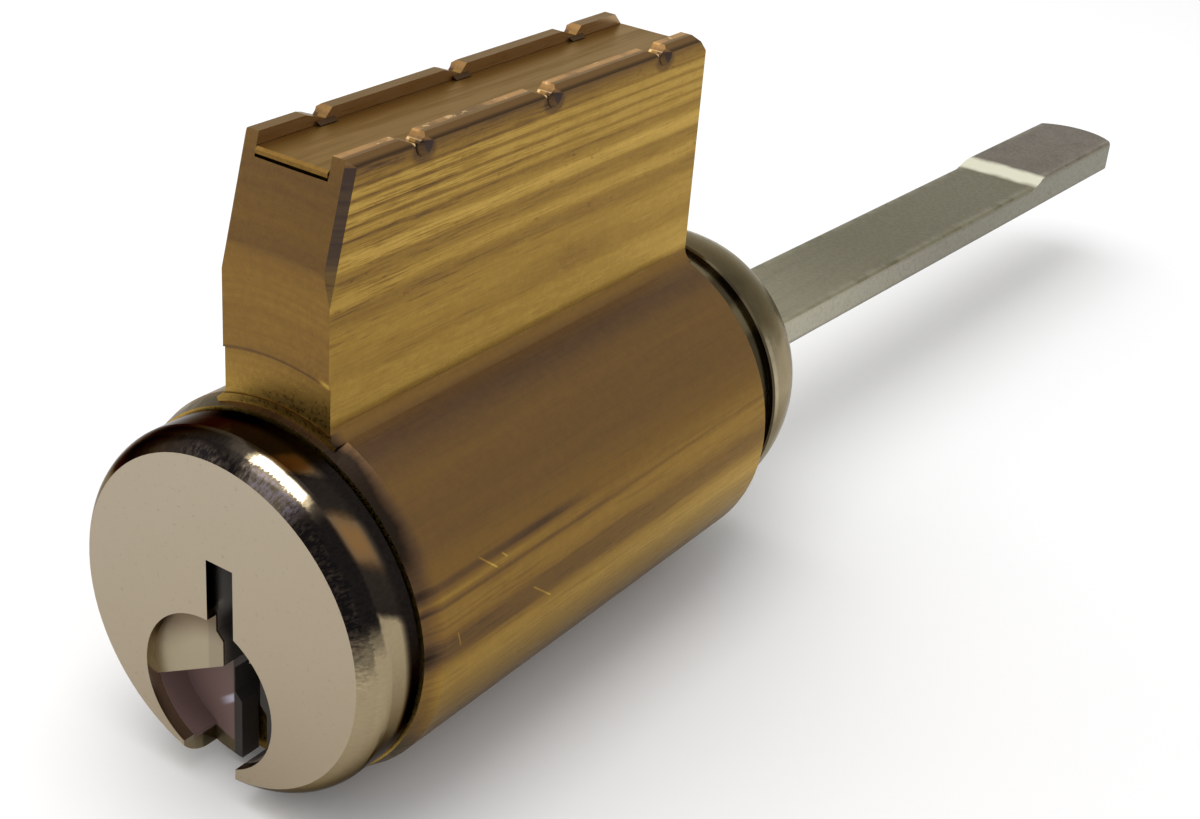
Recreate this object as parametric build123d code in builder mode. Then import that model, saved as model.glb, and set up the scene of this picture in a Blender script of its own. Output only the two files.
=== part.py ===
from build123d import *
import os
from math import sqrt

# Deadbolt cylinder with a screw-on tail cap, in millimetres.
# The plug turns about the Y axis. Its front face lies in the plane Y = 0 and looks towards -Y.
# The pin housing stands up along +Z, and the tailpiece points along +Y.

# Plug head
head_radius = 9.0
head_thickness = 3.2
face_radius = 8.2
bevel_depth = 1.4
bevel_bulge_height = 0.16

# Key recess milled into the head
recess_radius = 3.95
recess_x = -0.65
recess_drop = 4.0
recess_shallow = 0.55
recess_deep = 2.1
recess_step_angle = 29.0
recess_step_drop = 2.9
recess_mouth_left = 1.65
recess_mouth_drop = 2.75

# Keyway, cut straight through the plug and open at its underside
keyway_width = 1.6
keyway_x = 0.2
keyway_top = 3.14
ward_shift = 0.42
ward_top = -0.9
ward_pitch = 2.2

# Barrel and threaded nose of the plug
barrel_radius = 6.35
barrel_clearance = 0.05
nose_radius = 6.0
boss_radius = 3.8
boss_proud = 0.45
boss_edge = 0.2

# Housing: round body
body_radius = 9.45
body_length = 30.0
head_gap = 0.2
front_taper_length = 1.1
front_taper_drop = 0.33
rear_taper_length = 1.3
rear_taper_drop = 0.95

# Housing: pin housing on top of the body
bible_width = 6.2
bible_height = 21.3
bible_set_back = 0.35
bible_rear_set_back = 1.1
lean_drop = 4.5
front_lean = 0.27
arc_step_foot = 0.15
arc_step_rise = 2.35
arc_step_depth = 0.12
side_bevel = 0.35
rear_corner = 0.9
root_fillet = 0.7

# Channel for the cover, with its two rails
channel_width = 4.1
channel_depth = 1.05
rail_lean = 0.4
rail_round = 0.22
rail_drop = 0.32

# Cover strip
cover_thickness = 0.45
cover_side_clearance = 0.03
cover_overhang = 0.08
cover_end_inset = 0.15
cover_edge = 0.12
cover_front_relief = 0.15

# Stakes that fold the rails over the cover
stake_count = 3
stake_first = 5.95
stake_pitch = 9.4
stake_skew = 0.25
stake_notch_lead = 1.2
stake_notch_trail = 0.45
stake_notch_depth = 0.42
stake_lug_length = 1.15
stake_lug_reach = 0.25
stake_dent_radius = 0.75
stake_dent_depth = 0.3

# Pin chambers
chamber_pitch = 3.96
chamber_end_wall = 4.1
chamber_radius = 1.5
chamber_floor = -0.95
pin_clearance = 0.05
shear_gap_below = 0.05
shear_gap_above = 0.08
pin_crown = 0.16
tip_radius = 0.5
tip_height = 0.9
pin_base_length = 4.2
pin_step_height = 0.38
key_code = (3, 5, 2, 4, 1, 6)
driver_length = 4.0
driver_waist_radius = 1.1
driver_waist_length = 1.3
driver_edge = 0.2

# Driver springs
spring_wire = 0.3
spring_radius = 1.15
spring_turns = 7

# Tail cap: a neck, then a ring that domes in towards the rear
cap_neck_radius = 8.1
cap_neck_length = 1.3
cap_radius = 8.45
cap_shoulder = 0.1
cap_gap = 0.15
cap_length = 5.3
cap_dome_drop = 1.1
cap_floor = 1.0
cap_opening_radius = 3.95
cap_rear_round = 0.5
cap_fit = 0.05
notch_count = 10
notch_depth = 1.6

# Cap pin in the nose
cap_pin_radius = 0.7
cap_pin_height = 4.75
cap_pin_length = 2.1
cap_pin_sink = 0.2
cap_pin_edge = 0.15
cap_pin_bore_depth = 4.1
cap_spring_wire = 0.22
cap_spring_turns = 5

# Tailpiece
tail_width = 6.35
tail_thickness = 1.9
tail_length = 57.95
tail_edge_round = 0.3
tail_slot_clearance = 0.08
tail_swing = 1.75
tail_droop = 1.1
foot_width = 9.8
foot_length = 1.25
foot_end_clearance = 0.2
end_length = 14.0
end_ramp = 1.6
end_rise = 0.45
end_bow = 1.4

# Places along the axis that follow from the sizes
body_front = head_thickness + head_gap
body_rear = body_front + body_length
bible_front = body_front + bible_set_back
bible_rear = body_rear - bible_rear_set_back
cap_front = body_rear + cap_gap
cap_rear = cap_front + cap_length
cap_floor_front = cap_rear - cap_floor
nose_rear = cap_floor_front
boss_rear = cap_rear + boss_proud
foot_front = nose_rear - foot_end_clearance - foot_length
bore_radius = barrel_radius + barrel_clearance
pin_radius = chamber_radius - pin_clearance
front_flat_radius = bible_height - lean_drop
arc_foot_radius = body_radius + arc_step_foot
arc_step_radius = body_radius + arc_step_rise
channel_floor = bible_height - channel_depth
cover_top = channel_floor + cover_thickness
chamber_room = bible_rear - bible_front - 2 * chamber_end_wall
chamber_count = int(chamber_room / chamber_pitch) + 1
chamber_span = (chamber_count - 1) * chamber_pitch
first_chamber = (bible_front + bible_rear - chamber_span) / 2
chamber_places = [first_chamber + chamber_pitch * i for i in range(chamber_count)]
stake_places = [body_front + stake_first + stake_pitch * i for i in range(stake_count)]
driver_foot = bore_radius + shear_gap_above - barrel_clearance
driver_top = driver_foot + driver_length
crown_sphere = (pin_radius**2 + pin_crown**2) / (2 * pin_crown)
keyway_left = keyway_x - keyway_width / 2
keyway_right = keyway_x + keyway_width / 2
below_all = body_radius + head_radius - face_radius

# How close an edge or corner lies to the place that picks it out
near = 0.01


def across(y):
    """Plane square to the axis at a distance y behind the front face, drawn as (X, Z)."""
    return Plane.XZ.offset(-y)


def coil(wire, radius, turns, start, rise):
    """Spring wire wound round a line from the point start along the vector rise."""
    pitch = (rise.length - wire) / turns
    first = start + rise.normalized() * wire / 2
    with BuildPart() as spring:
        with BuildLine() as turn_line:
            Helix(pitch, rise.length - wire, radius, center=first, direction=rise)
        with BuildSketch(Plane(turn_line.line @ 0, z_dir=turn_line.line % 0)):
            RegularPolygon(wire / 2, 6)
        sweep(path=turn_line.line, is_frenet=True)
    return spring.part


# Plug: head, barrel, nose and boss turned in one piece, then broached, milled and drilled
with BuildPart() as plug:
    with BuildSketch(Plane.XY):
        with BuildLine():
            Line((0, 0), (face_radius, 0))
            SagittaArc((face_radius, 0), (head_radius, bevel_depth), -bevel_bulge_height)
            Polyline(
                (head_radius, bevel_depth),
                (head_radius, head_thickness),
                (barrel_radius, head_thickness),
                (barrel_radius, body_rear + cap_gap / 2),
                (nose_radius, body_rear + cap_gap / 2),
                (nose_radius, nose_rear),
                (boss_radius, nose_rear),
                (boss_radius, boss_rear),
                (0, boss_rear),
                (0, 0),
            )
        make_face()
    revolve(axis=Axis.Y)
    chamfer(plug.edges().filter_by(GeomType.CIRCLE).group_by(Axis.Y)[-1], length=boss_edge)

    # Shallow round floor of the key recess
    with BuildSketch(across(0)) as recess_outline:
        with Locations((recess_x, -recess_drop)):
            Circle(recess_radius)
    extrude(amount=-recess_shallow, mode=Mode.SUBTRACT)

    # Deeper part of the recess below a slanting step, run out through the rim
    with BuildSketch(across(0)):
        with Locations((recess_x, -recess_drop)):
            Circle(recess_radius)
        with Locations(Location((recess_x, -recess_step_drop, 0), (0, 0, 1), recess_step_angle)):
            Rectangle(
                4 * recess_radius,
                2 * recess_radius + recess_drop,
                align=(Align.CENTER, Align.MAX),
                mode=Mode.INTERSECT,
            )
        with Locations((keyway_right, -recess_drop - recess_mouth_drop)):
            Rectangle(
                keyway_right - recess_x + recess_mouth_left,
                below_all,
                align=(Align.MAX, Align.MAX),
            )
    extrude(amount=-recess_deep, mode=Mode.SUBTRACT)

    # Keyway: lanes of one width that step left and right past the wards
    lane_shifts = [0, ward_shift, -ward_shift, 0]
    lane_line = [(0, keyway_top)]
    for lane, shift in enumerate(lane_shifts[1:]):
        level = ward_top - ward_pitch * lane
        lane_line.append((lane_shifts[lane], level))
        lane_line.append((shift, level - abs(shift - lane_shifts[lane])))
    lane_line.append((0, -below_all))
    left_wall = [(keyway_left + s, z) for s, z in lane_line]
    right_wall = [(keyway_right + s, z) for s, z in reversed(lane_line)]
    with BuildSketch(across(0)):
        with BuildLine():
            Polyline(*left_wall, *right_wall, left_wall[0])
        make_face()
    extrude(amount=-boss_rear, mode=Mode.SUBTRACT)

    # Lower pin chambers, drilled from above to a pointed floor
    with Locations(*[(0, y, chamber_floor + tip_height) for y in chamber_places]):
        Cylinder(
            chamber_radius,
            barrel_radius,
            align=(Align.CENTER, Align.CENTER, Align.MIN),
            mode=Mode.SUBTRACT,
        )
        Cone(
            tip_radius + pin_clearance,
            chamber_radius,
            tip_height,
            align=(Align.CENTER, Align.CENTER, Align.MAX),
            mode=Mode.SUBTRACT,
        )

    # Cross slot in the nose for the tailpiece and its foot
    with BuildSketch(across(foot_front - foot_end_clearance)):
        Rectangle(2 * head_radius, tail_thickness + 2 * tail_slot_clearance)
    extrude(amount=-(boss_rear - foot_front + foot_length), mode=Mode.SUBTRACT)

    # Bore for the cap pin and its spring
    with BuildSketch(across(nose_rear)):
        with Locations((0, cap_pin_height)):
            Circle(cap_pin_radius + pin_clearance)
    extrude(amount=cap_pin_bore_depth, mode=Mode.SUBTRACT)

# Housing: round body and pin housing in one drawn bar, turned at both ends
with BuildPart() as housing:
    with BuildSketch(Plane.XY):
        with BuildLine():
            Polyline(
                (0, body_front),
                (body_radius - front_taper_drop, body_front),
                (body_radius, body_front + front_taper_length),
                (body_radius, body_rear - rear_taper_length),
                (body_radius - rear_taper_drop, body_rear),
                (0, body_rear),
                (0, body_front),
            )
        make_face()
    revolve(axis=Axis.Y)

    # Section of the pin housing: rails that lean in over the channel, and a round root on the body
    half = bible_width / 2
    crest = half - rail_lean
    lip = channel_width / 2
    root_height = sqrt((body_radius + root_fillet) ** 2 - (half + root_fillet) ** 2)
    root_share = body_radius / (body_radius + root_fillet)
    root_foot = ((half + root_fillet) * root_share, root_height * root_share)
    with BuildSketch(across(bible_front)) as bible_section:
        with BuildLine() as right_side:
            Line((0, 0), root_foot)
            RadiusArc(root_foot, (half, root_height), root_fillet)
            Polyline(
                (half, root_height),
                (half, bible_height - rail_drop),
                (crest, bible_height),
                (lip, bible_height),
                (lip, channel_floor),
                (0, channel_floor),
                (0, 0),
            )
        make_face()
        mirror(about=Plane.YZ)
        corners = bible_section.vertices().filter_by(lambda v: abs(v.X) > lip - near)
        fillet(corners.filter_by(lambda v: v.Z > bible_height - rail_drop - near), radius=rail_round)
    extrude(amount=-(bible_rear - bible_front))

    # Turned front: a flat, a shallow arc step and a cone that leans back to the top
    top_reach = bible_height + half
    with BuildSketch(Plane.XY):
        with BuildLine():
            Polyline(
                (arc_foot_radius, body_front),
                (arc_foot_radius, bible_front + arc_step_depth),
                (arc_step_radius, bible_front + arc_step_depth),
                (arc_step_radius, bible_front),
                (front_flat_radius, bible_front),
                (top_reach, bible_front + front_lean * (top_reach - front_flat_radius)),
                (top_reach, body_front),
                (arc_foot_radius, body_front),
            )
        make_face()
    revolve(axis=Axis.Y, mode=Mode.SUBTRACT)

    # Rear corner of the pin housing, turned round
    rear_tops = housing.edges().filter_by(GeomType.LINE).filter_by(Axis.X)
    rear_tops = rear_tops.filter_by(lambda e: e.center().Z > bible_height - near)
    chamfer(rear_tops.filter_by(lambda e: e.center().Y > bible_rear - near), length=rear_corner)

    # Bevel down each side of the leaning front
    leaning = housing.edges().filter_by(lambda e: e.center().Y < bible_front + front_lean * lean_drop)
    leaning = leaning.filter_by(lambda e: abs(abs(e.center().X) - half) < near)
    leaning = leaning.filter_by(lambda e: e.center().Z > front_flat_radius)
    chamfer(leaning.filter_by(lambda e: e.length > lean_drop / 2), length=side_bevel)

    # Bore for the plug
    with BuildSketch(across(body_front)):
        Circle(bore_radius)
    extrude(amount=-body_length, mode=Mode.SUBTRACT)

    # Upper pin chambers, from the bore up into the channel
    with Locations(*[(0, y, 0) for y in chamber_places]):
        Cylinder(
            chamber_radius,
            bible_height,
            align=(Align.CENTER, Align.CENTER, Align.MIN),
            mode=Mode.SUBTRACT,
        )

    # Stakes: a vee struck down through each rail, a dent below it and the lug that it folds in
    notch_floor = bible_height - stake_notch_depth
    lug_floor = cover_top + cover_side_clearance
    for place in stake_places:
        for side in (-1, 1):
            y = place + side * stake_skew
            with BuildSketch(Plane.YZ):
                with BuildLine():
                    Polyline(
                        (y - stake_notch_lead, bible_height),
                        (y, notch_floor),
                        (y + stake_notch_trail, bible_height),
                        (y + stake_notch_trail, bible_height + stake_notch_depth),
                        (y - stake_notch_lead, bible_height + stake_notch_depth),
                        (y - stake_notch_lead, bible_height),
                    )
                make_face()
            extrude(amount=side * bible_width, mode=Mode.SUBTRACT)
            dent_x = half + stake_dent_radius - stake_dent_depth
            with Locations((side * dent_x, y, bible_height - rail_drop)):
                Sphere(stake_dent_radius, mode=Mode.SUBTRACT)
            with BuildSketch(across(y - stake_lug_length / 2)):
                with BuildLine():
                    Polyline(
                        (side * lip, lug_floor),
                        (side * (lip - stake_lug_reach), lug_floor),
                        (side * lip, notch_floor),
                        (side * lip, lug_floor),
                    )
                make_face()
            extrude(amount=-stake_lug_length)

# Cover strip in the channel, with its front end standing a little off the channel's floor
cover_front = bible_front + front_lean * (cover_top - front_flat_radius) - cover_overhang
cover_rear = bible_rear - cover_end_inset
cover_width = channel_width - 2 * cover_side_clearance
with BuildPart() as chamber_cover:
    with BuildSketch(Plane.XY.offset(channel_floor)):
        with Locations((0, (cover_front + cover_rear) / 2)):
            Rectangle(cover_width, cover_rear - cover_front)
    extrude(amount=cover_thickness)
    chamfer(chamber_cover.edges().filter_by(Axis.X).group_by(Axis.Z)[-1], length=cover_edge)
    front_low = chamber_cover.edges().filter_by(Axis.X).group_by(Axis.Z)[0].sort_by(Axis.Y)[0]
    chamfer(front_low, length=cover_front_relief)

# Tail cap: a domed cup with a round opening and notches for the cap pin
notch_width = 2 * (cap_pin_radius + pin_clearance)
ring_front = cap_front + cap_neck_length
cap_rear_radius = cap_radius - cap_dome_drop
with BuildPart() as tail_cap:
    with BuildSketch(Plane.XY) as cap_section:
        with BuildLine():
            Polyline(
                (nose_radius + cap_fit, cap_front),
                (cap_neck_radius, cap_front),
                (cap_neck_radius, ring_front),
                (cap_radius - cap_shoulder, ring_front),
                (cap_radius, ring_front + cap_shoulder),
            )
            TangentArc((cap_radius, ring_front + cap_shoulder), (cap_rear_radius, cap_rear), tangent=(0, 1))
            Polyline(
                (cap_rear_radius, cap_rear),
                (cap_opening_radius, cap_rear),
                (cap_opening_radius, cap_floor_front),
                (nose_radius + cap_fit, cap_floor_front),
                (nose_radius + cap_fit, cap_front),
            )
        make_face()
        outer_rear = cap_section.vertices().group_by(Axis.Y)[-1].sort_by(Axis.X)[-1]
        fillet(outer_rear, radius=cap_rear_round)
    revolve(axis=Axis.Y)
    with BuildSketch(across(cap_floor_front - cap_floor)):
        notch_centre = cap_opening_radius + (notch_depth - notch_width) / 2
        with PolarLocations(notch_centre, notch_count, start_angle=90):
            SlotOverall(notch_depth + notch_width, notch_width)
    extrude(amount=-3 * cap_floor, mode=Mode.SUBTRACT)

# Tailpiece: a flat bar with its foot trapped under the cap and a coined far end
tail_rear = cap_rear + tail_length
with BuildPart() as straight_tailpiece:
    with BuildSketch(Plane.YZ):
        low = -tail_thickness / 2
        high = tail_thickness / 2
        end_start = tail_rear - end_length
        with BuildLine():
            Polyline(
                (foot_front, low),
                (tail_rear, low),
                (tail_rear, high + end_rise),
                (end_start, high + end_rise),
                (end_start - end_ramp, high),
                (foot_front, high),
                (foot_front, low),
            )
        make_face()
    extrude(amount=tail_width / 2, both=True)
    with BuildSketch(Plane.XY.offset(-tail_thickness)):
        with BuildLine():
            Line((-tail_width / 2, tail_rear - end_bow), (-tail_width / 2, foot_front))
            Line((-tail_width / 2, foot_front), (tail_width / 2, foot_front))
            Line((tail_width / 2, foot_front), (tail_width / 2, tail_rear - end_bow))
            ThreePointArc(
                (tail_width / 2, tail_rear - end_bow),
                (0, tail_rear),
                (-tail_width / 2, tail_rear - end_bow),
            )
        make_face()
    extrude(amount=3 * tail_thickness, mode=Mode.INTERSECT)
    long_edges = straight_tailpiece.edges().filter_by(Axis.Y)
    fillet(long_edges, radius=tail_edge_round)
    with BuildSketch(across(foot_front)):
        Rectangle(foot_width, tail_thickness)
    extrude(amount=-foot_length)

# The loose tailpiece hangs a little to one side and down, about the middle of its foot
foot_middle = (0, foot_front + foot_length / 2, 0)
tailpiece = straight_tailpiece.part.rotate(Axis(foot_middle, (0, 0, 1)), -tail_swing)
tailpiece = tailpiece.rotate(Axis(foot_middle, (1, 0, 0)), -tail_droop)

# Cap pin and its spring, in the bore above the tailpiece
pin_front = cap_rear - cap_pin_sink - cap_pin_length
with BuildPart() as cap_pin:
    with BuildSketch(across(pin_front)):
        with Locations((0, cap_pin_height)):
            Circle(cap_pin_radius)
    extrude(amount=-cap_pin_length)
    chamfer(cap_pin.edges().group_by(Axis.Y)[-1], length=cap_pin_edge)

cap_bore_front = nose_rear - cap_pin_bore_depth
cap_spring = coil(
    cap_spring_wire,
    cap_pin_radius - cap_spring_wire / 2,
    cap_spring_turns,
    Vector(0, cap_bore_front, cap_pin_height),
    Vector(0, pin_front - cap_bore_front, 0),
)

pieces = {
    "housing": housing.part,
    "chamber_cover": chamber_cover.part,
    "plug": plug.part,
    "tail_cap": tail_cap.part,
    "tailpiece": tailpiece,
    "cap_pin": cap_pin.part,
    "cap_spring": cap_spring,
}

# One stack for each chamber: bottom pin, driver pin and spring
for number, y in enumerate(chamber_places, start=1):
    cut = key_code[(number - 1) % len(key_code)]
    pin_top = barrel_radius - shear_gap_below
    pin_bottom = pin_top - pin_base_length - pin_step_height * cut
    with BuildPart() as bottom_pin:
        with BuildSketch(across(y)):
            with BuildLine():
                Polyline(
                    (0, pin_top),
                    (0, pin_bottom),
                    (tip_radius, pin_bottom),
                    (pin_radius, pin_bottom + tip_height),
                    (pin_radius, pin_top),
                    (0, pin_top),
                )
            make_face()
        revolve(axis=Axis((0, y, 0), (0, 0, 1)))
        with Locations((0, y, pin_top - crown_sphere)):
            Sphere(crown_sphere, mode=Mode.INTERSECT)
    pieces[f"bottom_pin_{number}"] = bottom_pin.part

    waist_low = driver_foot + (driver_length - driver_waist_length) / 2
    with BuildPart() as driver_pin:
        with BuildSketch(across(y)):
            with BuildLine():
                Polyline(
                    (0, driver_foot),
                    (pin_radius - driver_edge, driver_foot),
                    (pin_radius, driver_foot + driver_edge),
                    (pin_radius, waist_low),
                    (driver_waist_radius, waist_low + driver_edge),
                    (driver_waist_radius, waist_low + driver_waist_length - driver_edge),
                    (pin_radius, waist_low + driver_waist_length),
                    (pin_radius, driver_top - driver_edge),
                    (pin_radius - driver_edge, driver_top),
                    (0, driver_top),
                    (0, driver_foot),
                )
            make_face()
        revolve(axis=Axis((0, y, 0), (0, 0, 1)))
    pieces[f"driver_pin_{number}"] = driver_pin.part

    pieces[f"driver_spring_{number}"] = coil(
        spring_wire,
        spring_radius,
        spring_turns,
        Vector(0, y, driver_top),
        Vector(0, 0, channel_floor - driver_top),
    )

os.makedirs("parts", exist_ok=True)
for name, piece in pieces.items():
    piece.label = name
    export_step(piece, f"parts/{name}.step")
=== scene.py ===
import logging
import math
from dataclasses import dataclass, field
from enum import Enum
from functools import reduce
from typing import Sequence, Union

import bpy
import numpy as np
from mathutils import Matrix, Vector


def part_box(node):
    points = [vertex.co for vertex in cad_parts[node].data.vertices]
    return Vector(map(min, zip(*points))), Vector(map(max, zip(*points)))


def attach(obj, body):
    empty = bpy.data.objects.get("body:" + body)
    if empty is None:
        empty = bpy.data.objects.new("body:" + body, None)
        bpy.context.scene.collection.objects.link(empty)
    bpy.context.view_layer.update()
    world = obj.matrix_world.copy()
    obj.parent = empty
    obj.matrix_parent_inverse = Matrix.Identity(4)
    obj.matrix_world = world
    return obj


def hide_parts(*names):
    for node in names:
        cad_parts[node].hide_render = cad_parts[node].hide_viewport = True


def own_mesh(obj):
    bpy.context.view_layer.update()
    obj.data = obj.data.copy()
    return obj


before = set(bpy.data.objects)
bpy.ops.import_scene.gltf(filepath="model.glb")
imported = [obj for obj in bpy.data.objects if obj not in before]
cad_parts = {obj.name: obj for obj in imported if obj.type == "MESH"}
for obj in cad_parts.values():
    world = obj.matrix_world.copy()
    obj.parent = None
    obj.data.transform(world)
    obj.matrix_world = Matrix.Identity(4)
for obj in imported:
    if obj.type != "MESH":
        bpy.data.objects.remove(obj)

log = logging.getLogger("deadbolt_cylinder")
MM = 0.001
Socket = bpy.types.NodeSocket
Feed = Union[Socket, float, Sequence[float]]
Colour = tuple[float, float, float, float]
Stops = Sequence[tuple[float, Colour]]
Marks = Sequence[tuple[float, float]]
Point = tuple[float, float, float]
Spot = tuple[float, float]
BRASS_SHEEN: Colour = (0.86, 0.79, 0.66, 1.0)


def tint(red: float, green: float, blue: float) -> Colour:
    """Turn a colour given in screen values into the linear values that shaders take.

    The rule is the usual screen curve, taken as a straight line near black and a power of 2.4 above it.

    Args:
        red: Red from 0 to 255.
        green: Green from 0 to 255.
        blue: Blue from 0 to 255.

    Returns:
        Linear red, green and blue, with an alpha of 1.
    """
    screen = np.array([red, green, blue]) / 255
    linear = np.where(screen > 0.04045, ((screen + 0.055) / 1.055) ** 2.4, screen / 12.92)
    return (float(linear[0]), float(linear[1]), float(linear[2]), 1.0)


class Step(Enum):
    """Sums that a shader graph can work out."""

    ADD = "ADD"
    TAKE = "SUBTRACT"
    TIMES = "MULTIPLY"
    SIZE = "ABSOLUTE"
    MOST = "MAXIMUM"
    ROOT = "SQRT"
    TURN = "ARCTAN2"
    WAVE = "SINE"
    REST = "FLOORED_MODULO"


class Graph:
    """Writes the node tree of one material, with lengths in millimetres and angles in turns."""

    def __init__(self, name: str) -> None:
        """Start a material with one metal shader.

        Args:
            name: The material's name.
        """
        self.material = bpy.data.materials.new(name)
        self.material.use_nodes = True
        self.tree = self.material.node_tree
        self.tree.nodes.clear()
        out = self.tree.nodes.new("ShaderNodeOutputMaterial")
        self.shader = self.tree.nodes.new("ShaderNodeBsdfPrincipled")
        self.tree.links.new(self.shader.outputs["BSDF"], out.inputs["Surface"])
        self.source = self.tree.nodes.new("ShaderNodeTexCoord")
        self.place = self.vector_times(self.source.outputs["Object"], 1000.0)
        self.x, self.y, self.z = self.split(self.place)
        self.facing = self.split(self.source.outputs["Normal"])

    def feed(self, socket: Socket, value: Feed) -> None:
        """Link or set one input.

        Args:
            socket: The input to feed.
            value: Another node's output, or a constant.
        """
        if isinstance(value, Socket):
            self.tree.links.new(value, socket)
        else:
            socket.default_value = value

    def sum(self, step: Step, first: Feed, second: Feed = 0.0) -> Socket:
        """Work out one sum of two numbers.

        Args:
            step: The sum.
            first: The first number.
            second: The second number, where the sum has one.

        Returns:
            The result's socket.
        """
        node = self.tree.nodes.new("ShaderNodeMath")
        node.operation = step.value
        self.feed(node.inputs[0], first)
        self.feed(node.inputs[1], second)
        return node.outputs[0]

    def plus(self, *values: Feed) -> Socket:
        """Add numbers up."""
        return reduce(lambda first, second: self.sum(Step.ADD, first, second), values)

    def times(self, *values: Feed) -> Socket:
        """Multiply numbers."""
        return reduce(lambda first, second: self.sum(Step.TIMES, first, second), values)

    def less(self, first: Feed, second: Feed) -> Socket:
        """Take the second number from the first."""
        return self.sum(Step.TAKE, first, second)

    def size(self, *parts: Feed) -> Socket:
        """Give the length of a line from its parts along each axis."""
        return self.sum(Step.ROOT, self.plus(*(self.times(part, part) for part in parts)))

    def vector_times(self, vector: Feed, scale: float) -> Socket:
        """Scale a vector by one number.

        Args:
            vector: The vector.
            scale: The number.

        Returns:
            The scaled vector's socket.
        """
        node = self.tree.nodes.new("ShaderNodeVectorMath")
        node.operation = "SCALE"
        self.feed(node.inputs[0], vector)
        node.inputs["Scale"].default_value = scale
        return node.outputs[0]

    def split(self, vector: Feed) -> tuple[Socket, ...]:
        """Take a vector apart into X, Y and Z.

        Args:
            vector: The vector.

        Returns:
            The sockets of its three parts.
        """
        node = self.tree.nodes.new("ShaderNodeSeparateXYZ")
        self.feed(node.inputs[0], vector)
        return tuple(node.outputs)

    def join(self, x: Feed, y: Feed, z: Feed) -> Socket:
        """Put X, Y and Z together as a vector.

        Args:
            x: The first part.
            y: The second part.
            z: The third part.

        Returns:
            The vector's socket.
        """
        node = self.tree.nodes.new("ShaderNodeCombineXYZ")
        for socket, value in zip(node.inputs, (x, y, z)):
            self.feed(socket, value)
        return node.outputs[0]

    def ease(self, value: Feed, low: float, high: float, start: float = 0.0, end: float = 1.0) -> Socket:
        """Ease from one number to another as a value crosses a range.

        Args:
            value: What is read.
            low: Where the ease starts.
            high: Where it ends.
            start: The number before the range.
            end: The number after the range.

        Returns:
            The eased number's socket.
        """
        node = self.tree.nodes.new("ShaderNodeMapRange")
        node.interpolation_type = "SMOOTHSTEP"
        self.feed(node.inputs[0], value)
        for socket, number in zip(list(node.inputs)[1:5], (low, high, start, end)):
            socket.default_value = number
        return node.outputs[0]

    def band(self, value: Feed, low: float, high: float, soft: float) -> Socket:
        """Give 1 between two values and 0 outside them, with soft ends.

        Args:
            value: What is read.
            low: The lower end.
            high: The upper end.
            soft: How far each end fades to both sides.

        Returns:
            The band's socket.
        """
        rising = self.ease(value, low - soft, low + soft)
        falling = self.ease(value, high + soft, high - soft)
        return self.times(rising, falling)

    def tones(self, value: Feed, marks: Marks) -> Socket:
        """Read a brightness from marks along a value.

        Between two marks the brightness runs straight, and past the ends it stays.

        Args:
            value: What is read.
            marks: Pairs of value and brightness, in rising order.

        Returns:
            The brightness's socket.
        """
        low, high = marks[0][0], marks[-1][0]
        node = self.tree.nodes.new("ShaderNodeMapRange")
        self.feed(node.inputs[0], value)
        node.inputs[1].default_value = low
        node.inputs[2].default_value = high
        stops = [((at - low) / (high - low), (tone, tone, tone, 1.0)) for at, tone in marks]
        return self.ramp(node.outputs[0], stops)

    def scratch(self, along: Feed, across: Feed, start: Spot, end: Spot, width: float) -> Socket:
        """Draw one straight scratch on a surface laid flat.

        A point is on the scratch where its distance from the scratch's line is under half the width
        and its place along that line lies between the two ends.

        Args:
            along: The place one way on the surface, in millimetres.
            across: The place the other way, in millimetres.
            start: Where the scratch starts, along and across.
            end: Where it ends.
            width: How wide it is, in millimetres.

        Returns:
            1 on the scratch and 0 off it.
        """
        length = math.dist(start, end)
        way = ((end[0] - start[0]) / length, (end[1] - start[1]) / length)
        right, up = self.less(along, start[0]), self.less(across, start[1])
        ahead = self.plus(self.times(right, way[0]), self.times(up, way[1]))
        aside = self.sum(Step.SIZE, self.less(self.times(right, way[1]), self.times(up, way[0])))
        return self.times(self.ease(aside, width / 2, width / 6), self.band(ahead, 0.0, length, width))

    def noise(self, where: Feed, scale: float, detail: float = 2.0, rough: float = 0.5) -> Socket:
        """Read a cloud pattern.

        Args:
            where: The point it is read at, in millimetres.
            scale: Lumps per millimetre.
            detail: How many finer layers it has.
            rough: How strong the finer layers are.

        Returns:
            A number's socket, about 0.5 in the middle.
        """
        node = self.tree.nodes.new("ShaderNodeTexNoise")
        self.feed(node.inputs["Vector"], where)
        node.inputs["Scale"].default_value = scale
        node.inputs["Detail"].default_value = detail
        node.inputs["Roughness"].default_value = rough
        return node.outputs[0]

    def mix(self, part: Feed, first: Feed, second: Feed) -> Socket:
        """Mix two colours.

        Args:
            part: 0 for the first colour and 1 for the second.
            first: The first colour.
            second: The second colour.

        Returns:
            The mixed colour's socket.
        """
        node = self.tree.nodes.new("ShaderNodeMix")
        node.data_type = "RGBA"
        self.feed(node.inputs[0], part)
        self.feed(node.inputs[6], first)
        self.feed(node.inputs[7], second)
        return node.outputs[2]

    def ramp(self, value: Feed, stops: Stops) -> Socket:
        """Read a colour from a row of stops.

        Args:
            value: A number from 0 to 1.
            stops: Pairs of place and colour, in rising order.

        Returns:
            The colour's socket.
        """
        node = self.tree.nodes.new("ShaderNodeValToRGB")
        self.feed(node.inputs[0], value)
        bar = node.color_ramp
        while len(bar.elements) < len(stops):
            bar.elements.new(0.5)
        for element, (spot, colour) in zip(bar.elements, stops):
            element.position = spot
            element.color = colour
        return node.outputs[0]

    def radius(self) -> Socket:
        """Give the distance from the plug's axis."""
        return self.size(self.x, self.z)

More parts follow.
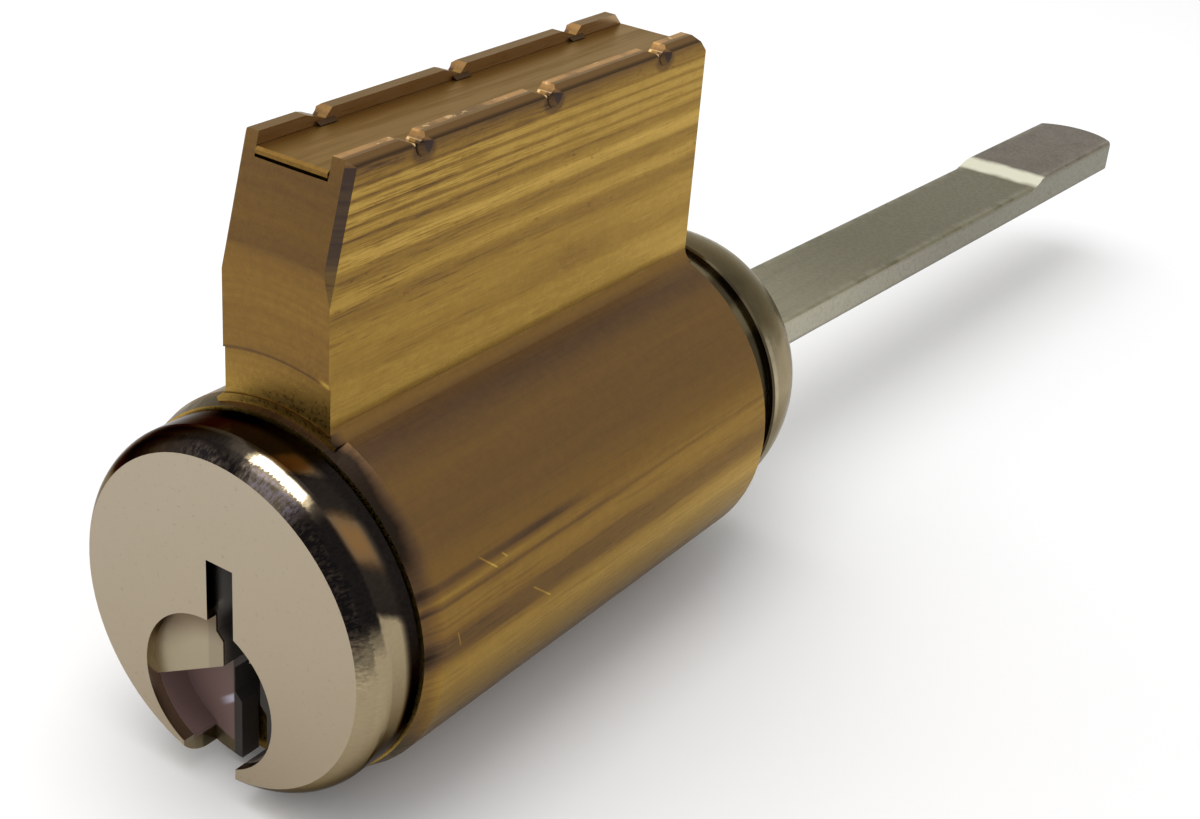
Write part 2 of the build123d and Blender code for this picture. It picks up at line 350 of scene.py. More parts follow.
    def angle(self) -> Socket:
        """Give the angle round the axis, in turns: 0.5 at the top, more towards +X."""
        return self.plus(self.times(self.sum(Step.TURN, self.x, self.z), 0.5 / math.pi), 0.5)

    def bump(self, height: Feed, depth: float, strength: float = 1.0) -> None:
        """Raise the surface by a height pattern.

        Args:
            height: The pattern, from 0 to 1.
            depth: The height of 1, in millimetres.
            strength: How much of it shows.
        """
        node = self.tree.nodes.new("ShaderNodeBump")
        node.inputs["Strength"].default_value = strength
        node.inputs["Distance"].default_value = depth * MM
        self.feed(node.inputs["Height"], height)
        self.feed(self.shader.inputs["Normal"], node.outputs[0])

    def finish(self, colour: Feed, rough: Feed, metal: Feed = 1.0) -> bpy.types.Material:
        """Feed the shader and hand the material over.

        Args:
            colour: The base colour.
            rough: The roughness.
            metal: How metallic it is.

        Returns:
            The finished material.
        """
        self.feed(self.shader.inputs["Base Color"], colour)
        self.feed(self.shader.inputs["Roughness"], rough)
        self.feed(self.shader.inputs["Metallic"], metal)
        return self.material


@dataclass(frozen=True)
class DrawnBrass:
    """Brass of the housing: drawn sides with lengthwise streaks, a turned front and a dull round body.

    Each region gives a brightness, with painted reflections and painted shade among the brass's own
    marks, and one row of brass shades turns it into colour. Heights and distances are in
    millimetres, and marks round the body are in turns away from the top.
    """

    shades: Stops = (
        (0.00, tint(38, 30, 24)),
        (0.25, tint(86, 65, 46)),
        (0.50, tint(118, 89, 48)),
        (0.75, tint(150, 119, 57)),
        (1.00, tint(188, 155, 80)),
    )
    grazing: Colour = BRASS_SHEEN
    copper: Colour = tint(176, 134, 86)
    brown: Colour = tint(106, 80, 50)
    glint: Colour = tint(214, 182, 134)
    crease_shade: Colour = tint(62, 46, 32)
    inner_wall_painted_light: Colour = tint(178, 150, 114)
    shadow: Colour = tint(62, 52, 50)
    # Brightness by height on the flat sides: drawn bands and painted reflection together.
    side_marks: Marks = (
        (9.3, 0.60), (9.8, 0.86), (10.5, 0.82), (11.3, 0.78), (11.6, 0.70), (12.3, 0.73),
        (13.1, 0.78), (13.9, 0.73), (14.3, 0.60), (14.7, 0.63), (15.1, 0.84), (15.5, 0.82),
        (15.8, 0.68), (16.4, 0.63), (16.6, 0.86), (17.1, 0.95), (17.4, 0.74), (17.8, 0.67),
        (18.3, 0.80), (20.0, 0.80), (20.3, 0.62), (20.7, 0.50), (20.98, 0.34),
    )
    # Painted reflection bands round the body, the same on both flanks, with painted shade towards the
    # underside.
    round_reflection_marks: Marks = (
        (0.047, 0.56), (0.055, 0.47), (0.062, 0.34), (0.072, 0.26), (0.080, 0.27), (0.096, 0.36),
        (0.112, 0.41), (0.136, 0.38), (0.160, 0.39), (0.176, 0.46), (0.200, 0.56), (0.216, 0.60),
        (0.226, 0.56), (0.236, 0.46), (0.248, 0.46), (0.262, 0.76), (0.274, 0.82), (0.286, 0.72),
        (0.302, 0.68), (0.318, 0.60), (0.332, 0.42), (0.350, 0.24), (0.420, 0.40), (0.500, 0.46),
    )
    # Brightness by height on the front; the high marks at its foot are painted light where the head shades
    # it.
    front_marks: Marks = (
        (8.9, 0.84), (9.6, 0.78), (10.4, 0.64), (11.4, 0.58), (12.2, 0.51), (15.0, 0.54), (16.3, 0.50),
        (16.7, 0.38), (18.0, 0.42), (20.0, 0.37), (21.3, 0.42),
    )
    crease: float = 9.41
    body_radius: float = 9.45
    stake_first: float = 9.6
    stake_pitch: float = 9.4
    ripple_pitch: float = 0.58
    ripple_start: float = 20.0
    dent_height: float = 20.62

    def streak(self, g: Graph, across: Feed, scale: float, detail: float = 4.0) -> Socket:
        """Read a pattern drawn out along the bar, from about -0.5 to 0.5."""
        where = g.join(g.times(g.y, 0.035), g.times(g.x, 0.1), across)
        return g.less(g.noise(where, scale, detail, 0.62), 0.5)

    def side_tone(self, g: Graph) -> Socket:
        """Give the brightness of the pin housing's flat sides, by height.

        Long bands lie at set heights and wander a little; they are the brass's drawn bands and painted
        reflection together. Above the middle, ripples about 0.6 mm apart and finer lines run along the
        bar, strongest at the front.

        Args:
            g: The material's graph.

        Returns:
            The brightness's socket.
        """
        wander = self.streak(g, g.times(g.z, 0.12), 2.2, 2.0)
        height = g.plus(g.z, g.times(wander, g.band(g.z, 13.0, 16.2, 1.0), 0.9))
        upper = g.band(g.z, 17.8, 20.3, 0.25)
        from_ripple = g.plus(g.z, g.times(wander, 0.16), -self.ripple_start)
        wave = g.sum(Step.WAVE, g.times(from_ripple, 2 * math.pi / self.ripple_pitch))
        ripple = g.plus(g.times(g.ease(wave, 0.35, 0.95), -2.2), g.times(wave, -0.4), 0.5)
        fine = g.ease(self.streak(g, g.z, 10.0, 3.0), -0.02, 0.14)
        coarse = self.streak(g, g.z, 2.4)
        pits = g.ease(g.noise(g.join(g.times(g.y, 0.45), 0.0, g.z), 1.9, 3.0, 0.7), 0.62, 0.7)
        patch = g.times(g.band(g.y, 18.0, 25.0, 3.0), g.band(g.z, 11.8, 13.0, 0.8))
        blotch = g.times(patch, g.noise(g.place, 0.5, 3.0))
        grain = g.less(g.noise(g.place, 3.0, 4.0, 0.7), 0.5)
        hair = g.times(g.ease(self.streak(g, g.z, 8.0, 2.0), 0.07, 0.17), g.ease(g.y, 4.0, 24.0, 1.0, 0.35))
        return g.plus(
            g.tones(height, self.side_marks),
            g.times(hair, g.ease(g.z, 10.0, 16.0, 0.35, 1.0), -0.22),
            g.times(ripple, upper, g.ease(g.y, 6.0, 28.0, 0.11, 0.055)),
            g.times(fine, g.ease(g.z, 12.0, 18.0, 0.25, 1.0), g.ease(g.y, 5.0, 26.0, -0.18, -0.07)),
            g.times(coarse, 0.12),
            g.times(pits, g.ease(g.z, 13.0, 14.5, 0.3, 1.0), -0.16),
            g.times(blotch, -0.22),
            g.times(grain, 0.16),
            g.ease(g.y, 20.0, 31.0, 0.0, 0.05),
        )

    def round_tone(self, g: Graph) -> Socket:
        """Give the brightness of the round body, by the angle from the top: painted reflection bands, with
        painted shade towards the underside.

        Two dark streaks, a light line and a fuzzy band run along the flank, with a few short light
        scratches.

        Args:
            g: The material's graph.

        Returns:
            The brightness's socket.
        """
        arc = g.times(g.less(g.angle(), 0.5), 2 * math.pi * self.body_radius)
        drift = self.streak(g, g.times(arc, 0.4), 1.4)
        turn = g.plus(g.sum(Step.SIZE, g.less(g.angle(), 0.5)), g.times(drift, 0.006))
        right = g.ease(g.x, 0.0, 1.0)
        upper_streak = g.times(g.band(turn, 0.1865, 0.1935, 0.0025), g.ease(g.y, 17.5, 12.0))
        smudge_and_shade = g.times(g.band(turn, 0.184, 0.194, 0.003), g.band(g.y, 9.5, 14.0, 2.0))
        light_line = g.times(g.band(turn, 0.1975, 0.2015, 0.0015), g.ease(g.y, 18.0, 10.0))
        lower_streak = g.times(g.band(turn, 0.2045, 0.2075, 0.0016), g.ease(g.y, 8.0, 30.0, 1.0, 0.35))
        fuzzy = g.times(g.band(turn, 0.233, 0.250, 0.004), g.ease(g.y, 5.0, 30.0, 1.0, 0.2))
        wear = g.plus(
            g.scratch(g.y, arc, (7.5, 11.1), (8.5, 12.0), 0.13),
            g.scratch(g.y, arc, (5.35, 13.8), (5.5, 14.5), 0.12),
            g.scratch(g.y, arc, (10.9, 14.1), (12.3, 15.2), 0.13),
            g.scratch(g.y, arc, (9.0, 11.5), (9.3, 11.8), 0.12),
        )
        upper = g.plus(g.times(upper_streak, -0.22), g.times(smudge_and_shade, -0.05), g.times(light_line, 0.12))
        lower = g.plus(g.times(lower_streak, -0.24), g.times(fuzzy, -0.12), g.times(wear, 0.34))
        fine = g.ease(self.streak(g, arc, 6.0, 3.0), 0.0, 0.16)
        grain = g.less(g.noise(g.place, 2.2, 4.0, 0.7), 0.5)
        return g.plus(
            g.tones(turn, self.round_reflection_marks),
            g.times(right, upper),
            g.times(right, lower),
            g.times(self.streak(g, arc, 0.9), 0.12),
            g.times(fine, g.ease(turn, 0.16, 0.24, -0.02, -0.10)),
            g.times(grain, 0.12),
            g.times(g.ease(turn, 0.18, 0.22), g.ease(g.y, 16.0, 30.0, 0.0, 0.05)),
        )

    def front_tone(self, g: Graph) -> Socket:
        """Give the brightness of the turned front: faint rings about the axis and one step line, with
        painted light at its foot, painted shade above the head and a painted highlight at one end of the
        step line.

        Args:
            g: The material's graph.

        Returns:
            The brightness's socket.
        """
        radius = g.radius()
        wander = g.times(g.noise(g.place, 0.4, 2.0), 0.35)
        ring = g.less(g.noise(g.join(g.plus(radius, wander), 0.0, 0.0), 2.4, 3.0, 0.6), 0.5)
        grain = g.less(g.noise(g.place, 2.6, 4.0, 0.7), 0.5)
        # Painted shade on the front, just above the head.
        smudge_and_shade = g.times(g.band(g.x, -1.2, 0.8, 0.7), g.ease(g.z, 10.8, 9.4))
        # Painted highlight where the step line meets the +X edge.
        corner = g.times(g.ease(g.x, 2.3, 2.9), g.band(radius, 11.75, 12.0, 0.12))
        return g.plus(
            g.tones(g.z, self.front_marks),
            g.times(ring, 0.20),
            g.times(grain, 0.14),
            g.times(g.band(radius, 11.7, 11.9, 0.06), -0.26),
            g.times(smudge_and_shade, -0.08),
            g.times(corner, 0.5),
        )

    def rails(self, g: Graph) -> Socket:
        """Give the rails' and the channel's colour.

        Both rails are brown above a painted shade line in the crease. The crest of the rail on the +X
        side carries a painted copper highlight with painted glint specks, the notch facets get a painted
        glint, the inner walls are painted pale against their shade, and painted highlight bands stand
        by each stake on that side.

        Args:
            g: The material's graph.

        Returns:
            The colour's socket.
        """
        # Painted highlight: the +X rail's crest turns copper in broken runs, with painted glint specks.
        highlight_breakup = self.streak(g, g.plus(g.z, g.times(g.y, 0.12)), 3.0)
        speck = g.ease(g.noise(g.join(g.times(g.y, 0.9), g.x, g.z), 1.6, 2.0, 0.6), 0.62, 0.68)
        lit_rail_side = g.band(g.x, 2.06, 2.46, 0.1)
        crest = g.times(g.ease(g.z, 21.18, 21.27), lit_rail_side)
        # Painted shade: a dark line along the crease at the foot of each rail.
        colour = g.mix(g.ease(g.z, 21.02, 21.16), self.crease_shade, self.brown)
        colour = g.mix(g.times(crest, g.ease(highlight_breakup, -0.2, 0.08)), colour, self.copper)
        colour = g.mix(g.times(speck, crest, 0.75), colour, self.glint)
        # Painted glint on the notch facets that face along the bar.
        nick_glint = g.times(g.ease(g.sum(Step.SIZE, g.facing[1]), 0.2, 0.45), g.ease(g.z, 20.7, 20.9))
        colour = g.mix(g.times(nick_glint, 0.3), colour, self.copper)
        # Painted highlight bands beside each stake, on the +X side only.
        slant = g.plus(self.from_stake(g), g.times(g.less(g.z, 21.0), 0.5))
        stripes = g.plus(g.band(slant, -0.62, -0.50, 0.05), g.band(slant, -0.05, 0.12, 0.05))
        # Painted light: the inner walls are made pale against their shade.
        sideways = g.sum(Step.SIZE, g.facing[0])
        inner = g.times(g.ease(g.sum(Step.SIZE, g.x), 2.3, 2.1), g.ease(sideways, 0.6, 0.8))
        colour = g.mix(g.times(inner, 0.8), colour, self.inner_wall_painted_light)
        stake_glints = g.times(stripes, g.ease(g.z, 20.75, 20.95), g.less(1.0, inner), g.ease(g.x, 0.0, 1.0))
        return g.mix(stake_glints, colour, self.glint)

    def from_stake(self, g: Graph) -> Socket:
        """Give the distance along the bar from the nearest stake, below 0 in front of it."""
        half = self.stake_pitch / 2
        return g.less(g.sum(Step.REST, g.less(g.y, self.stake_first - half), self.stake_pitch), half)

    def dent_shade(self, g: Graph) -> Socket:
        """Give the painted shade under the stakes: 1 inside an oval dent under each, and 0 outside.

        Args:
            g: The material's graph.

        Returns:
            The dents' socket.
        """
        across = g.times(self.from_stake(g), 1.2)
        height = g.times(g.less(g.z, self.dent_height), 2.0)
        return g.ease(g.size(across, height), 1.2, 0.7)

    def make(self) -> bpy.types.Material:
        """Write the brass as one material for the whole housing.

        Returns:
            The finished material.
        """
        g = Graph("drawn_brass")
        wide = g.sum(Step.SIZE, g.x)
        ends = g.ease(g.sum(Step.SIZE, g.facing[1]), 0.6, 0.85)
        side = g.times(g.ease(wide, 2.5, 2.6), g.ease(g.z, self.crease - 0.04, self.crease + 0.08))
        channel = g.times(g.ease(wide, 2.25, 2.15), g.ease(g.z, 20.1, 20.2))

        # Painted shade in the dent under each stake darkens the flat sides.
        side_tone = g.plus(self.side_tone(g), g.times(self.dent_shade(g), -0.26))
        tone = g.mix(side, self.round_tone(g), side_tone)
        # Painted shade at the body's front end, next to the gap to the head, strongest at the top.
        lip_shade = g.times(g.ease(g.y, 4.7, 3.5), g.ease(g.radius(), 9.75, 9.65))
        from_top = g.sum(Step.SIZE, g.less(g.angle(), 0.5))
        tone = g.plus(tone, g.times(lip_shade, g.ease(from_top, 0.12, 0.2, -0.46, -0.24)))
        tone = g.mix(ends, tone, self.front_tone(g))
        colour = g.ramp(tone, self.shades)

        sideways, forwards = g.sum(Step.SIZE, g.facing[0]), g.times(g.facing[1], -1.0)
        bevel = g.times(g.ease(sideways, 0.3, 0.45), g.ease(forwards, 0.3, 0.45))
        colour = g.mix(g.times(bevel, g.ease(g.z, 16.2, 17.2, 0.5, 0.9)), colour, self.shadow)
        top = g.times(g.ease(g.z, 20.96, 21.0), g.less(1.0, ends))
        inside = g.times(channel, g.less(1.0, ends))
        colour = g.mix(g.sum(Step.MOST, top, inside), colour, self.rails(g))
        floor = g.times(g.ease(g.facing[2], 0.9, 0.95), g.ease(g.z, 20.5, 20.3), channel)
        colour = g.mix(floor, colour, self.shadow)

        grain = g.noise(g.join(g.times(g.y, 0.1), g.x, g.z), 6.0, 3.0, 0.6)
        g.bump(grain, 0.012, 0.35)
        g.shader.inputs["Specular Tint"].default_value = self.grazing
        return g.finish(colour, g.ease(grain, 0.3, 0.7, 0.26, 0.4))


@dataclass(frozen=True)
class PlatedNickel:
    """Nickel plate of the plug: satin face, polished rim and a dark keyway.

    The polish shows the room as dark and light patches, so the rim's brightness is set by angle,
    in turns with 0.5 at the top. Girth is the length round the rim, in millimetres.
    """

    shades: Stops = (
        (0.00, tint(20, 17, 18)),
        (0.25, tint(66, 58, 48)),
        (0.50, tint(112, 101, 80)),
        (0.70, tint(157, 141, 112)),
        (0.85, tint(184, 172, 150)),
        (1.00, tint(246, 243, 238)),
    )
    grazing: Colour = (0.36, 0.33, 0.31, 1.0)
    face_lit: Colour = tint(172, 160, 141)
    face_shaded: Colour = tint(167, 153, 131)
    speck: Colour = tint(118, 106, 86)
    amber: Colour = tint(134, 98, 58)
    lilac: Colour = tint(122, 112, 132)
    keyway_dark: Colour = tint(130, 126, 122)
    keyway_shade: Colour = tint(60, 56, 54)
    recess_light: Colour = tint(164, 152, 129)
    recess_shade: Colour = tint(112, 98, 80)
    recess_reflection_red: Colour = tint(120, 97, 93)
    recess_reflection_grey: Colour = tint(108, 97, 87)
    recess_glint: Colour = tint(206, 202, 220)
    outer_marks: Marks = (
        (0.00, 0.66), (0.12, 0.60), (0.30, 0.74), (0.335, 0.76), (0.350, 0.90), (0.372, 0.86),
        (0.388, 0.40), (0.41, 0.16), (0.45, 0.08), (0.484, 0.05), (0.522, 0.12), (0.532, 1.00),
        (0.578, 1.00), (0.590, 0.24), (0.605, 0.02), (0.69, 0.02), (0.704, 0.48), (0.72, 0.66),
        (0.78, 0.70), (0.86, 0.66), (1.00, 0.66),
    )
    inner_marks: Marks = (
        (0.00, 0.68), (0.30, 0.76), (0.35, 0.66), (0.365, 0.24), (0.39, 0.10), (0.47, 0.03),
        (0.520, 0.05), (0.540, 0.42), (0.570, 0.42), (0.588, 0.12), (0.60, 0.02),
        (0.69, 0.02), (0.71, 0.40), (0.74, 0.66), (1.00, 0.68),
    )
    side_marks: Marks = (
        (0.00, 0.50), (0.12, 0.36), (0.22, 0.60), (0.31, 0.70), (0.333, 0.50), (0.345, 0.25),
        (0.365, 0.20), (0.383, 0.24), (0.400, 0.22), (0.420, 0.20), (0.530, 0.18), (0.538, 0.46),
        (0.555, 0.42), (0.562, 0.06), (0.600, 0.08), (0.606, 0.38), (0.638, 0.34), (0.645, 0.10),
        (0.684, 0.08), (0.690, 0.68), (0.79, 0.66), (0.82, 0.34), (0.87, 0.24), (1.00, 0.50),
    )
    recess_x: float = -0.65
    recess_drop: float = 4.0
    keyway_x: float = 0.2
    bevel_depth: float = 1.4
    girth: float = 56.5
    gap_shade_tone: Colour = (0.03, 0.03, 0.03, 1.0)

    def face(self, g: Graph) -> Socket:
        """Give the satin face's colour, with painted light that makes it lighter at the upper left, and
        fine specks.

        Args:
            g: The material's graph.

        Returns:
            The colour's socket.
        """
        # Painted light: the face grows lighter towards the upper left, with a random cloud.
        slope = g.plus(g.times(g.x, -0.6), g.times(g.z, 0.8))
        cloud = g.times(g.less(g.noise(g.place, 0.3, 5.0, 0.68), 0.5), 9.0)
        colour = g.mix(g.ease(g.plus(slope, cloud), -9.0, 8.0), self.face_shaded, self.face_lit)
        pits = g.ease(g.noise(g.place, 3.4, 3.0, 0.8), 0.60, 0.70, 0.0, 0.35)
        return g.mix(pits, colour, self.speck)

    def rim(self, g: Graph) -> Socket:
        """Give the colour of the bevel and the head's side, by the angle and the distance behind the face.

        The bevel's inner half and outer half and the side each have marks by angle, painted reflections
        in the polish. Fine teeth of painted reflection along the face's edge come from a pattern that is
        quick round the rim and slow across it.

        Args:
            g: The material's graph.

        Returns:
            The colour's socket.
        """
        angle = g.angle()
        arc = g.times(angle, self.girth)
        teeth = g.less(g.noise(g.join(arc, g.times(g.y, 0.6), 0.0), 5.0, 3.0, 0.7), 0.5)
        broad = g.less(g.noise(g.join(arc, g.y, 0.0), 0.9, 3.0, 0.6), 0.5)
        turn = g.plus(angle, g.times(teeth, 0.014), g.times(broad, 0.014))
        edge = g.plus(g.y, g.times(teeth, 0.5), g.times(broad, 0.3))
        inner, outer = g.tones(turn, self.inner_marks), g.tones(turn, self.outer_marks)
        tone = g.mix(g.ease(edge, 0.64, 0.74), inner, outer)
        past_bevel = g.less(g.y, self.bevel_depth)
        leaning = g.plus(angle, g.times(past_bevel, -0.012), g.times(broad, 0.012))
        side = g.tones(leaning, self.side_marks)
        patch = g.plus(g.band(leaning, 0.537, 0.556, 0.006), g.band(leaning, 0.605, 0.640, 0.012))
        beyond = g.ease(g.plus(g.y, g.times(broad, 0.25)), 1.12, 1.3)
        tone = g.mix(beyond, tone, side)
        # Painted shade on the head's side, deep in the gap to the body.
        behind = g.times(g.ease(g.y, 2.2, 2.75), g.band(angle, 0.30, 0.86, 0.04))
        tone = g.mix(behind, tone, self.gap_shade_tone)
        # More painted reflection teeth along the face's edge, from the top towards +X.
        toothed_reflection = g.times(g.ease(g.y, 0.62, 0.3), g.band(angle, 0.47, 0.74, 0.03))
        tone = g.plus(tone, g.times(teeth, g.ease(toothed_reflection, 0.0, 1.0, 0.1, 0.7)))
        colour = g.ramp(tone, self.shades)
        near_top = g.band(turn, 0.535, 0.585, 0.01)
        cool = g.times(near_top, g.ease(edge, 0.66, 0.58), g.ease(teeth, -0.1, 0.15))
        colour = g.mix(g.times(cool, 0.6), colour, self.lilac)
        return g.mix(g.times(patch, g.band(g.y, 1.3, 2.3, 0.25), 0.8), colour, self.amber)

    def make(self) -> bpy.types.Material:
        """Write the nickel as one material for the whole plug.

        Returns:
            The finished material.
        """
        g = Graph("plated_nickel")
        radius = g.radius()
        front = g.ease(g.times(g.facing[1], -1.0), 0.9, 0.98)
        colour = g.mix(g.times(front, g.ease(g.y, 0.06, 0.02)), self.rim(g), self.face(g))

        # Key recess, by the distance from its middle, and the keyway's dark walls
        from_x, from_z = g.less(g.x, self.recess_x), g.plus(g.z, self.recess_drop)
        from_middle = g.size(from_x, from_z)
        sunk = g.times(g.ease(g.y, 0.08, 0.2), g.ease(radius, 8.9, 8.6), g.ease(from_middle, 4.3, 4.05))
        shaded = g.times(g.ease(from_middle, 2.2, 3.8), g.ease(from_z, 0.4, 2.6))
        recess = g.mix(shaded, self.recess_light, self.recess_shade)
        deep = g.ease(g.y, 0.6, 0.7)
        # Painted reflections in the deep part of the recess: red and grey split along a slanted line, and a
        # light streak.
        slope = g.plus(from_x, g.times(from_z, 0.6))
        below = g.mix(g.ease(slope, -1.8, 0.2), self.recess_reflection_red, self.recess_reflection_grey)
        gleam = g.scratch(from_x, from_z, (-1.0, -2.1), (0.5, -1.0), 0.55)
        below = g.mix(g.times(gleam, 0.7), below, self.recess_glint)
        colour = g.mix(sunk, colour, g.mix(deep, recess, below))
        off_slot = g.sum(Step.SIZE, g.less(g.x, self.keyway_x))
        slot = g.times(g.ease(g.y, 0.3, 1.2), g.ease(off_slot, 1.35, 1.25), g.ease(g.z, 3.4, 3.2))
        # Painted shade: the keyway's walls are darker lower down.
        wall = g.mix(g.ease(g.z, 0.4, -0.6), self.keyway_dark, self.keyway_shade)
        colour = g.mix(slot, colour, wall)

        grain = g.noise(g.place, 5.0, 4.0, 0.7)
        g.bump(g.mix(front, g.noise(g.place, 1.2, 3.0), grain), 0.012, 0.4)
        g.shader.inputs["Specular Tint"].default_value = self.grazing
        hollow = g.sum(Step.MOST, g.times(sunk, deep), slot)
        rough = g.sum(Step.MOST, g.ease(front, 0.0, 1.0, 0.18, 0.4), g.times(hollow, 0.6))
        return g.finish(colour, rough, g.ease(hollow, 0.0, 1.0, 1.0, 0.2))


@dataclass(frozen=True)
class CapNickel:
    """Bright nickel plate of the tail cap: painted shade on the neck, a painted highlight on the ring and
    painted reflections as patches round the turn.

    Marks are in turns with 0.5 at the top, and girth is the length round, in millimetres.
    """

    shades: Stops = (
        (0.00, tint(36, 31, 27)),
        (0.30, tint(84, 75, 55)),
        (0.55, tint(108, 99, 78)),
        (0.80, tint(160, 148, 124)),
        (1.00, tint(208, 196, 176)),
    )
    # Painted reflections as patches by angle.
    turn_marks: Marks = (
        (0.00, 0.70), (0.20, 0.66), (0.40, 0.58), (0.48, 0.26), (0.55, 0.26), (0.60, 0.14),
        (0.645, 0.22), (0.68, 0.66), (0.73, 0.72), (0.77, 0.46), (0.83, 0.40), (0.90, 0.66), (1.00, 0.70),
    )
    neck_marks: Marks = (
        (0.00, 0.20), (0.44, 0.30), (0.50, 0.50), (0.572, 0.50), (0.584, 0.12), (0.612, 0.12),
        (0.622, 0.42), (0.644, 0.36), (0.656, 0.10), (1.00, 0.10),
    )
    grazing: Colour = (0.78, 0.72, 0.6, 1.0)
    neck_end: float = 34.85
    girth: float = 52.0

    def make(self) -> bpy.types.Material:
        """Write the cap's nickel.

        Returns:
            The finished material.
        """
        g = Graph("cap_nickel")
        angle = g.angle()
        jag = g.less(g.noise(g.join(g.times(angle, self.girth), g.y, 0.0), 0.8, 4.0, 0.6), 0.5)
        tone = g.tones(g.plus(angle, g.times(jag, 0.03)), self.turn_marks)
        edge = g.band(g.y, self.neck_end + 0.1, self.neck_end + 0.5, 0.1)
        # Painted highlight on the ring's front edge.
        ring = g.times(edge, g.band(angle, 0.66, 0.76, 0.02))
        tone = g.plus(tone, g.times(ring, 0.12), g.times(jag, 0.2))
        # Painted shade on the narrow front part and on the forward-facing shoulder, with a few painted
        # highlights in its marks.
        before_end = g.ease(g.y, self.neck_end, self.neck_end - 0.05)
        neck = g.sum(Step.MOST, before_end, g.ease(g.facing[1], -0.5, -0.8))
        neck_tone = g.tones(g.plus(angle, g.times(jag, 0.02)), self.neck_marks)
        tone = g.mix(neck, tone, neck_tone)
        g.bump(g.noise(g.place, 1.5, 3.0), 0.01, 0.4)
        g.shader.inputs["Specular Tint"].default_value = self.grazing
        return g.finish(g.ramp(tone, self.shades), g.ease(jag, -0.2, 0.2, 0.16, 0.28))


@dataclass(frozen=True)
class TailSteel:
    """Plated steel of the tailpiece: an olive top and light sides, the difference being painted light, a
    painted highlight along the top's edges, painted shade along the foot of each side and a bright coined
    ramp.

    Swing and droop are the bar's slopes away from the axis, sideways and down.
    """

    top_near: Colour = tint(136, 131, 106)
    top_far: Colour = tint(94, 88, 58)
    side: Colour = tint(172, 167, 148)
    side_far: Colour = tint(124, 120, 104)
    edge: Colour = tint(186, 181, 158)
    ramp: Colour = tint(216, 213, 192)
    end_top: Colour = tint(82, 70, 50)
    end_light: Colour = tint(92, 81, 62)
    mark_and_shade: Colour = tint(86, 80, 62)
    ramp_start: float = 81.2
    ramp_end: float = 82.8
    foot_middle: float = 37.025
    swing: float = 0.0306
    droop: float = 0.0192

    def make(self) -> bpy.types.Material:
        """Write the steel.

        Returns:
            The finished material.
        """
        g = Graph("tail_steel")
        up = g.ease(g.sum(Step.SIZE, g.facing[2]), 0.5, 0.8)
        streak = g.noise(g.join(g.x, g.times(g.y, 0.06), g.z), 1.8, 4.0, 0.6)
        grain = g.noise(g.place, 4.0, 4.0, 0.7)
        top = g.mix(g.ease(g.y, 38.0, 62.0), self.top_near, self.top_far)
        top = g.mix(g.ease(streak, 0.4, 0.7, 0.0, 0.3), top, self.mark_and_shade)
        cloud = g.noise(g.place, 0.5, 3.0)
        end = g.mix(g.ease(cloud, 0.30, 0.72), self.end_top, self.end_light)
        upward = g.ease(g.facing[2], 0.0, 0.3)
        top = g.mix(g.times(upward, g.ease(g.y, self.ramp_end - 0.1, self.ramp_end + 0.3)), top, end)
        across = g.less(g.x, g.times(g.less(g.y, self.foot_middle), self.swing))
        # Painted highlight along the top's edges, broken up by a cloud.
        highlight_breakup = g.ease(g.noise(g.place, 0.6, 3.0), 0.35, 0.6)
        rim = g.times(g.ease(g.sum(Step.SIZE, across), 2.3, 3.0), highlight_breakup)
        top = g.mix(g.times(rim, 0.18), top, self.edge)
        blurred = g.plus(g.y, g.times(g.less(cloud, 0.5), 0.8))
        coined = g.times(g.band(blurred, self.ramp_start, self.ramp_end, 0.35), upward)
        top = g.mix(coined, top, self.ramp)
        side = g.mix(g.ease(g.y, 40.0, 70.0), self.side, self.side_far)
        side = g.mix(g.ease(grain, 0.5, 0.75, 0.0, 0.35), side, self.mark_and_shade)
        # Painted shade along the foot of each side.
        height = g.plus(g.z, g.times(g.less(g.y, self.foot_middle), self.droop))
        side = g.mix(g.ease(height, -0.5, -0.85, 0.0, 0.7), side, self.mark_and_shade)
        # Painted light: the sides and the top take different colours by which way they face.
        colour = g.mix(up, side, top)
        g.bump(grain, 0.015, 0.35)
        return g.finish(colour, g.ease(grain, 0.3, 0.7, 0.32, 0.46))


@dataclass(frozen=True)
class RolledBrass:
    """Plain metal with a grain, for the cover strip, the pins and the springs' wire.

    A small share in `along` draws the grain out along that axis, and a large one packs it close
    there, as turning marks.
    """

    name: str
    light: Colour
    deep: Colour
    rough: float = 0.34
    along: tuple[float, float, float] = (1.0, 0.06, 1.0)

    def make(self) -> bpy.types.Material:
        """Write the metal under its own name.

        Returns:
            The finished material.
        """
        g = Graph(self.name)
        stretched = g.join(*(g.sum(Step.TIMES, part, k) for part, k in zip((g.x, g.y, g.z), self.along)))
        streak = g.noise(stretched, 2.2, 4.0, 0.6)
        colour = g.mix(g.ease(streak, 0.36, 0.66), self.light, self.deep)
        g.bump(streak, 0.01, 0.4)
        g.shader.inputs["Specular Tint"].default_value = BRASS_SHEEN
        return g.finish(colour, g.ease(streak, 0.3, 0.7, self.rough - 0.06, self.rough + 0.08))


